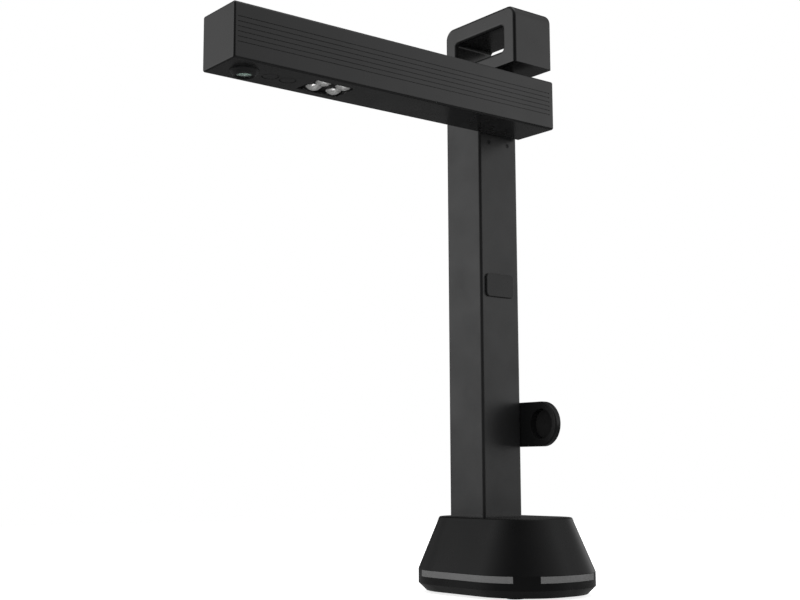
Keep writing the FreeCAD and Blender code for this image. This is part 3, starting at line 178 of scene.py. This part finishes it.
def make_world():
    world = bpy.data.worlds.new("studio")
    bpy.context.scene.world = world
    world.use_nodes = True
    world.cycles.sampling_method = "NONE"
    tree = Tree(world.node_tree)
    surface = tree.by_ray(tree.glow(1.0), tree.glow(panel_levels(tree)), tree.glow(PLAIN_LEVEL))
    tree.add("ShaderNodeOutputWorld", {"Surface": surface})


def make_floor():
    mesh = bpy.data.meshes.new("floor")
    form = bmesh.new()
    bmesh.ops.create_circle(form, cap_ends=True, segments=FLOOR_CORNERS, radius=FLOOR_RADIUS)
    form.to_mesh(mesh)
    form.free()
    floor = bpy.data.objects.new("floor", mesh)
    bpy.context.scene.collection.objects.link(floor)
    material = bpy.data.materials.new("pale_floor")
    material.use_nodes = True
    material.cycles.emission_sampling = "NONE"
    tree = Tree(material.node_tree)
    place = tree.add("ShaderNodeTexCoord").outputs["Object"]
    reach = tree.vector("LENGTH", place, output="Value")
    levels = tree.ramp(tree.math("DIVIDE", reach, FLOOR_RADIUS), FLOOR_GLOSS)
    gloss = tree.glow(levels, "ShaderNodeEmission")
    pale = tree.add("ShaderNodeBsdfDiffuse", {"Color": SHOWN_FLOOR_COLOUR}).outputs[0]
    lifted = tree.glow(SHOWN_FLOOR_GLOW, "ShaderNodeEmission")
    shown = tree.add("ShaderNodeAddShader", {0: pale, 1: lifted}).outputs[0]
    plain = tree.add("ShaderNodeBsdfDiffuse", {"Color": FLOOR_COLOUR}).outputs[0]
    tree.add("ShaderNodeOutputMaterial", {"Surface": tree.by_ray(shown, gloss, plain)})
    mesh.materials.append(material)


def make_lamp(name, place, aim, size, power, spread=180, glint_on=()):
    """Soft square lamp. With objects to glint on, it only shows as a reflection in these."""
    data = bpy.data.lights.new(name, "AREA")
    data.shape = "SQUARE"
    data.size = size
    data.energy = power
    data.spread = math.radians(spread)
    lamp = bpy.data.objects.new(name, data)
    bpy.context.scene.collection.objects.link(lamp)
    lamp.location = place
    lamp.rotation_euler = (Vector(aim) - Vector(place)).to_track_quat("-Z", "Y").to_euler()
    lamp.visible_camera = False
    lamp.visible_glossy = bool(glint_on)
    lamp.visible_diffuse = not glint_on
    lamp.visible_transmission = not glint_on
    if glint_on:
        glinting = bpy.data.collections.new(name)
        for thing in glint_on:
            glinting.objects.link(thing)
        lamp.light_linking.receiver_collection = glinting


# Finishes

NOISE_SPAN = (0.3, 0.7)
GRAIN_CONTRAST, GRAIN_BASE = 0.6, 0.2
GRAIN_DARK, GRAIN_LIGHT = 0.8, 1.25
GLOSS_PATCH = 26


class Finish(Tree):
    """A Principled material. Its patterns read Object coordinates, in metres."""

    def __init__(self, name, **sockets):
        self.name = name
        self.material = bpy.data.materials.new(name)
        self.material.use_nodes = True
        super().__init__(self.material.node_tree)
        self.shader = self.add("ShaderNodeBsdfPrincipled", {
            key.replace("_", " "): value for key, value in sockets.items()})
        self.add("ShaderNodeOutputMaterial", {"Surface": self.shader.outputs[0]})
        self.place = self.add("ShaderNodeTexCoord").outputs["Object"]
        self.normal = None

    def noise(self, size, detail=2.0, stretch=(1, 1, 1), roughness=0.5):
        """Soft noise whose features are about this many millimetres across."""
        place = self.place
        if stretch != (1, 1, 1):
            place = self.vector("MULTIPLY", place, stretch)
        node = self.add("ShaderNodeTexNoise", {"Vector": place, "Scale": 1 / (size * MM),
                                               "Detail": detail, "Roughness": roughness})
        return node.outputs["Fac"]

    def cells(self, size, feature="F1"):
        inputs = {"Vector": self.place, "Scale": 1 / (size * MM)}
        node = self.add("ShaderNodeTexVoronoi", inputs, feature=feature)
        return node.outputs["Distance"]

    def colour(self, value, low, high):
        """Base colour that runs from low to high over the noise's span."""
        share = self.remap(value, NOISE_SPAN, (0.0, 1.0))
        mix = self.add("ShaderNodeMix", {0: share, 6: (*low, 1), 7: (*high, 1)}, data_type="RGBA")
        self.tree.links.new(mix.outputs[2], self.shader.inputs["Base Color"])

    def roughness(self, value, low, high):
        spread = self.remap(value, NOISE_SPAN, (low, high))
        self.tree.links.new(spread, self.shader.inputs["Roughness"])

    def bump(self, value, depth, strength=1.0):
        """Relief of this many millimetres, on top of what is there already."""
        inputs = {"Height": value, "Distance": depth * MM, "Strength": strength}
        if self.normal:
            inputs["Normal"] = self.normal
        self.normal = self.add("ShaderNodeBump", inputs).outputs["Normal"]
        self.tree.links.new(self.normal, self.shader.inputs["Normal"])


def grey(level, tint=0.0):
    """Neutral colour, with a small share of blue."""
    return (level * (1 - tint / 2), level, level * (1 + tint))


def moulded(name, level, rough, grain, depth, spread=0.05, tint=0.03, **sockets):
    """Dark moulded or coated surface: eroded grain, paler where it is high, and soft gloss patches."""
    finish = Finish(name, **sockets)
    speckle = finish.noise(grain, 3.0, roughness=0.6)
    tone = finish.math("MULTIPLY_ADD", speckle, GRAIN_CONTRAST, GRAIN_BASE)
    finish.colour(tone, grey(level * GRAIN_DARK, tint), grey(level * GRAIN_LIGHT, tint))
    finish.roughness(finish.noise(GLOSS_PATCH, 3.0), rough - spread, rough + spread)
    finish.bump(speckle, depth)
    return finish


def finishes():
    """Every finish by its slot in the record."""
    made = [
        moulded("case_plastic", 0.0047, 0.29, 0.35, 0.006, IOR=1.315),
        moulded("arm_coating", 0.0072, 0.25, 0.30, 0.004, IOR=1.54),
        moulded("column_coating", 0.013, 0.36, 0.22, 0.004, IOR=1.5),
        moulded("dock_plastic", 0.0078, 0.34, 0.45, 0.006, IOR=1.33),
        moulded("washer_plastic", 0.02, 0.5, 0.4, 0.006),
        moulded("lamp_tray_black", 0.003, 0.5, 0.3, 0.01),
        moulded("lens_black", 0.018, 0.42, 0.15, 0.002, IOR=1.35),
        moulded("pad_rubber", 0.011, 0.28, 0.5, 0.012, IOR=1.38),
        moulded("foot_rubber", 0.014, 0.72, 0.6, 0.03),
        moulded("cable_jacket", 0.015, 0.5, 0.8, 0.01),
        moulded("black_screw", 0.02, 0.38, 0.12, 0.003, Metallic=0.6),
        trim_grey(), dock_felt(), cast_alloy(), circuit_board(), lens_glass(), lamp_lens(),
        led_phosphor(),
        steel("plain_steel", (0.42, 0.42, 0.43), 0.3),
        steel("socket_steel", (0.6, 0.59, 0.56), 0.2),
    ]
    return {finish.name: finish.material for finish in made}


def trim_grey():
    """Silver-grey inlay with a fine metallic flake."""
    finish = Finish("trim_grey", IOR=1.65, Metallic=0.1)
    flake = finish.cells(0.25)
    finish.colour(flake, grey(0.125), grey(0.19))
    finish.roughness(finish.noise(12, 3.0), 0.16, 0.26)
    finish.bump(flake, 0.004)
    return finish


def dock_felt():
    """Short black pile, brushed one way."""
    finish = Finish("dock_felt", Sheen_Weight=0.06, Sheen_Roughness=0.5, IOR=1.2)
    fibres = finish.noise(0.35, 6.0, (1, 0.4, 1), 0.7)
    finish.colour(fibres, grey(0.006), grey(0.016))
    finish.roughness(fibres, 0.8, 0.95)
    finish.bump(fibres, 0.12)
    return finish


def steel(name, colour, rough):
    """Plated steel with turning marks across the X axis."""
    finish = Finish(name, Metallic=1.0)
    marks = finish.noise(0.5, 4.0, (6, 0.4, 0.4))
    finish.colour(marks, [c * 0.85 for c in colour], colour)
    finish.roughness(marks, rough - 0.06, rough + 0.1)
    finish.bump(marks, 0.004)
    return finish


def cast_alloy():
    """Die-cast alloy with its dull, pitted skin."""
    finish = Finish("cast_alloy", Metallic=1.0)
    grain = finish.noise(0.9, 5.0, roughness=0.65)
    finish.colour(grain, grey(0.22, 0.02), grey(0.33, 0.02))
    finish.roughness(finish.noise(8, 3.0), 0.42, 0.6)
    finish.bump(grain, 0.05)
    return finish


def circuit_board():
    """Green solder mask over copper tracks."""
    finish = Finish("circuit_board", IOR=1.5)
    tracks = finish.math("LESS_THAN", finish.cells(1.6, "DISTANCE_TO_EDGE"), 0.11)
    finish.colour(tracks, (0.004, 0.03, 0.014), (0.012, 0.075, 0.03))
    finish.roughness(finish.noise(0.4, 2.0), 0.22, 0.34)
    finish.bump(tracks, 0.03)
    return finish


def lens_glass():
    """Coated glass: clear, with the cool cast of its coating, and dark and pale blotches in its colour
    that are painted glints.
    """
    finish = Finish("lens_glass", IOR=1.52, Transmission_Weight=1.0, Coat_Weight=0.3,
                    Coat_Roughness=0.02, Coat_Tint=(0.85, 1.0, 0.92, 1))
    # Painted glints: this noise puts dark and pale blotches in the glass's colour, and its roughness
    # follows them
    glint_blotches = finish.noise(1.4, 3.0)
    finish.colour(glint_blotches, (0.045, 0.053, 0.052), (0.28, 0.30, 0.295))
    finish.roughness(glint_blotches, 0.0, 0.03)
    return finish


def lamp_lens():
    """Clear moulded lens, a little frosted so that it spreads the light."""
    finish = Finish("lamp_lens", IOR=1.49, Transmission_Weight=0.55, Coat_Weight=1.0,
                    Coat_Roughness=0.1)
    frost = finish.noise(1.1, 4.0)
    finish.colour(frost, (0.44, 0.44, 0.43), (0.90, 0.90, 0.89))
    finish.roughness(frost, 0.16, 0.26)
    finish.bump(frost, 0.01)
    return finish


def led_phosphor():
    """Yellow phosphor gel over the chip."""
    finish = Finish("led_phosphor", IOR=1.5)
    grains = finish.noise(0.12, 3.0)
    finish.colour(grains, (0.55, 0.50, 0.30), (0.72, 0.68, 0.45))
    finish.roughness(grains, 0.45, 0.6)
    finish.bump(grains, 0.01)
    return finish


# Pieces of the scene. Their own sizes are in millimetres.

# Degrees between two faces above which their edge stays sharp
SHARP_ANGLE = 28


def add_piece(name, mesh, material, body):
    """Object of a finished mesh that rides on a body."""
    mesh.materials.clear()
    mesh.materials.append(material)
    mesh.shade_smooth()
    mesh.set_sharp_from_angle(angle=math.radians(SHARP_ANGLE))
    piece = bpy.data.objects.new(name, mesh)
    bpy.context.scene.collection.objects.link(piece)
    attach(piece, body)
    return piece


TURNING_STEPS = 144
NOSE_LIP = [(6.45, 0.0), (6.6, 0.05), (6.7, 0.2)]
NOSE_RADIUS = 6.7
NOSE_HEIGHT = 2.35
SKIRT_RADIUS = 8.1
BODY_RADIUS = 7.25
BORE_RADIUS = 4.87
GROOVE_RISES = (0.75, 1.25, 1.75)
GROOVE_DEPTH = 0.12
GROOVE_HALF_WIDTH = 0.1
GROOVE_SIDE_STEP = 0.06
BAFFLE_STEPS = 4
BAFFLE_HEIGHT = 0.22
BAFFLE_RADIUS = 5.85
BAFFLE_DEPTH = 0.24


def barrel_profile(height):
    """Half section of the turned barrel, as (radius, rise) from the mouth's edge up and back."""
    nose = list(NOSE_LIP)
    slope = (SKIRT_RADIUS - NOSE_RADIUS) / NOSE_HEIGHT
    for rise in GROOVE_RISES:
        radius = NOSE_RADIUS + slope * rise
        nose += [(radius - GROOVE_SIDE_STEP, rise - GROOVE_HALF_WIDTH), (radius - GROOVE_DEPTH, rise),
                 (radius + GROOVE_SIDE_STEP, rise + GROOVE_HALF_WIDTH)]
    body = [(SKIRT_RADIUS, NOSE_HEIGHT), (BODY_RADIUS, NOSE_HEIGHT), (BODY_RADIUS, height)]
    bore = [(BORE_RADIUS, height), (BORE_RADIUS, BAFFLE_STEPS * BAFFLE_HEIGHT)]
    for step in reversed(range(BAFFLE_STEPS)):
        radius = BAFFLE_RADIUS - BAFFLE_DEPTH * step
        bore += [(radius, (step + 1) * BAFFLE_HEIGHT), (radius, step * BAFFLE_HEIGHT)]
    return nose + body + bore


def turned(profile, centre):
    """Closed half section turned about an upright axis through the centre."""
    form = bmesh.new()
    places = [centre + Vector((radius * MM, 0, rise * MM)) for radius, rise in profile]
    corners = [form.verts.new(place) for place in places]
    edges = [form.edges.new(pair) for pair in zip(corners, corners[1:] + corners[:1])]
    bmesh.ops.spin(form, geom=corners + edges, cent=centre, axis=(0, 0, 1), angle=math.tau,
                   steps=TURNING_STEPS, use_merge=True)
    bmesh.ops.remove_doubles(form, verts=form.verts, dist=1e-7)
    bmesh.ops.recalc_face_normals(form, faces=form.faces)
    mesh = bpy.data.meshes.new("turned")
    form.to_mesh(mesh)
    form.free()
    return mesh


def turned_barrel(material):
    """Lens barrel with the fine grooves of its nose and the baffle steps in its mouth."""
    low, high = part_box("lens_barrel")
    centre = Vector(((low.x + high.x) / 2, (low.y + high.y) / 2, low.z))
    mesh = turned(barrel_profile((high.z - low.z) / MM), centre)
    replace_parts(add_piece("turned_barrel", mesh, material, "arm"), "lens_barrel")


CONTACT_COUNT = 12
CONTACT_PITCH = 0.5
CONTACT_SIZE = (0.25, 3.4, 0.05)
CONTACT_BEVEL = 0.02
TONGUE_HALF = 0.35
TONGUE_SETBACK = 1.4


def contact_tree(material):
    """Two rows of the contact that comes in, one above the origin and one turned below it."""
    tree = bpy.data.node_groups.new("contact_rows", "GeometryNodeTree")
    tree.interface.new_socket("Contact", in_out="INPUT", socket_type="NodeSocketGeometry")
    count = tree.interface.new_socket("Count", in_out="INPUT", socket_type="NodeSocketInt")
    pitch = tree.interface.new_socket("Pitch", in_out="INPUT", socket_type="NodeSocketFloat")
    tree.interface.new_socket("Rows", in_out="OUTPUT", socket_type="NodeSocketGeometry")
    build = Tree(tree)
    given = build.add("NodeGroupInput").outputs
    step = build.add("ShaderNodeCombineXYZ", {"X": given["Pitch"]}).outputs[0]
    line = build.add("GeometryNodeMeshLine", {"Count": given["Count"], "Offset": step}, mode="OFFSET")
    spread = build.math("MULTIPLY", build.math("SUBTRACT", given["Count"], 1.0), given["Pitch"])
    shift = build.add("ShaderNodeCombineXYZ", {"X": build.math("MULTIPLY", spread, -0.5)}).outputs[0]
    centred = build.add("GeometryNodeTransform", {"Geometry": line.outputs[0], "Translation": shift})
    row = build.add("GeometryNodeInstanceOnPoints",
                    {"Points": centred.outputs[0], "Instance": given["Contact"]})
    turned_row = build.add("GeometryNodeTransform",
                           {"Geometry": row.outputs[0], "Rotation": (0, math.pi, 0)})
    joined = build.add("GeometryNodeJoinGeometry")
    tree.links.new(row.outputs[0], joined.inputs[0])
    tree.links.new(turned_row.outputs[0], joined.inputs[0])
    solid = build.add("GeometryNodeRealizeInstances", {"Geometry": joined.outputs[0]})
    painted = build.add("GeometryNodeSetMaterial",
                        {"Geometry": solid.outputs[0], "Material": material})
    build.add("NodeGroupOutput", {"Rows": painted.outputs[0]})
    return tree, {count.identifier: CONTACT_COUNT, pitch.identifier: CONTACT_PITCH * MM}


def usb_contacts(material):
    """Gold contacts on both faces of the socket's tongue."""
    form = bmesh.new()
    bmesh.ops.create_cube(form, size=1.0)
    bmesh.ops.scale(form, verts=form.verts, vec=[side * MM for side in CONTACT_SIZE])
    bmesh.ops.bevel(form, geom=form.edges, offset=CONTACT_BEVEL * MM, segments=2, affect="EDGES")
    bmesh.ops.translate(form, verts=form.verts, vec=(0, 0, TONGUE_HALF * MM))
    mesh = bpy.data.meshes.new("contact")
    form.to_mesh(mesh)
    form.free()
    maker = bpy.data.objects.new("contact_maker", mesh)
    bpy.context.scene.collection.objects.link(maker)
    modifier = maker.modifiers.new("rows", "NODES")
    modifier.node_group, values = contact_tree(material)
    for identifier, value in values.items():
        modifier[identifier] = value
    evaluated = maker.evaluated_get(bpy.context.evaluated_depsgraph_get())
    rows = bpy.data.meshes.new_from_object(evaluated)
    bpy.data.objects.remove(maker)
    low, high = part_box("usb_socket")
    back = high.y - (TONGUE_SETBACK + CONTACT_SIZE[1] / 2) * MM
    rows.transform(Matrix.Translation(((low.x + high.x) / 2, back, (low.z + high.z) / 2)))
    add_piece("usb_contacts", rows, material, "stand")


def dress_nodes(finish_by_slot):
    """Gives each node of the frame the finish of its slot."""
    for node in nodes.values():
        for holder in node.material_slots:
            slot = holder.material.name.split(".")[0]
            holder.material = finish_by_slot[slot]


make_camera()
make_world()
make_floor()
make_lamp("overhead", **OVERHEAD_LAMP)
make_lamp("lamp_glint", **GLINT_LAMP, glint_on=[nodes["lamp_domes"]])
finish_by_slot = finishes()
dress_nodes(finish_by_slot)
turned_barrel(finish_by_slot["lens_black"])
usb_contacts(steel("contact_gold", (0.78, 0.56, 0.26), 0.2).material)

bpy.context.scene.view_settings.view_transform = "Standard"
